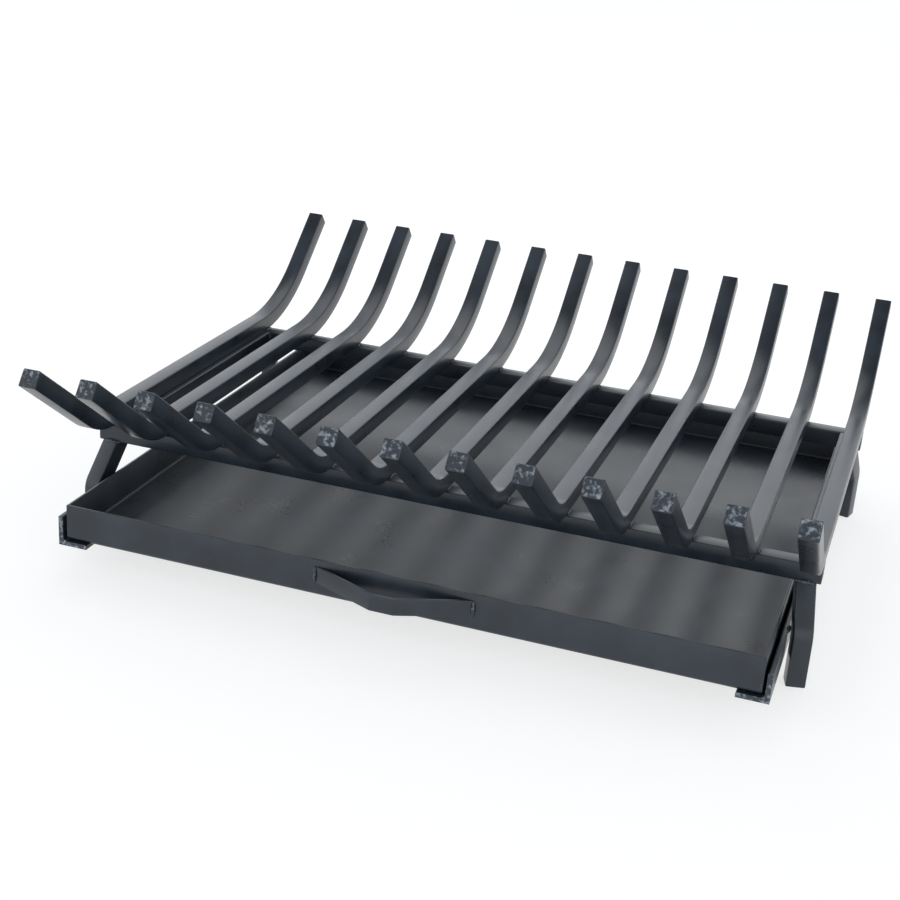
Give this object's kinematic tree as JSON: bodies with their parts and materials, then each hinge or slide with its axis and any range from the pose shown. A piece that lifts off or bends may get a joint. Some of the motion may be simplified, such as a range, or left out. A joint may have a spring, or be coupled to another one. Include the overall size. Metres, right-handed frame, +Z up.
{
  "type": "log grate",
  "caption": "Fireplace log grate of square bars turned up at front and rear, on splayed bent legs, with angle rails that carry a sliding ash pan.",
  "frame": {"origin": "middle of the footprint on the hearth, at the undersides of the feet", "axes": "+X to the right across the bars, +Y to the rear along the bars, +Z up"},
  "size_m": [0.6198, 0.5662, 0.1853],
  "materials": {
    "bar_paint": "satin heat-resistant black paint on square bar",
    "frame_paint": "satin heat-resistant black paint on bar and angle",
    "pan_paint": "satin heat-resistant black paint on sheet"
  },
  "bodies": {
    "grate": {"grate_bar_01": "bar_paint", "grate_bar_02": "bar_paint", "grate_bar_03": "bar_paint", "grate_bar_04": "bar_paint", "grate_bar_05": "bar_paint", "grate_bar_06": "bar_paint", "grate_bar_07": "bar_paint", "grate_bar_08": "bar_paint", "grate_bar_09": "bar_paint", "grate_bar_10": "bar_paint", "grate_bar_11": "bar_paint", "grate_bar_12": "bar_paint", "grate_bar_13": "bar_paint", "front_crossbar": "frame_paint", "rear_crossbar": "frame_paint", "left_side_bar": "frame_paint", "right_side_bar": "frame_paint", "front_left_leg": "frame_paint", "front_right_leg": "frame_paint", "rear_left_leg": "frame_paint", "rear_right_leg": "frame_paint", "left_rail": "frame_paint", "right_rail": "frame_paint"},
    "pan": {"ash_pan": "pan_paint", "pan_handle": "pan_paint"}
  },
  "joints": [
    {"name": "pan_slide", "type": "slide", "parent": "grate", "child": "pan", "axis": [0, -1, 0], "range_m": [0, 0.3]}
  ]
}
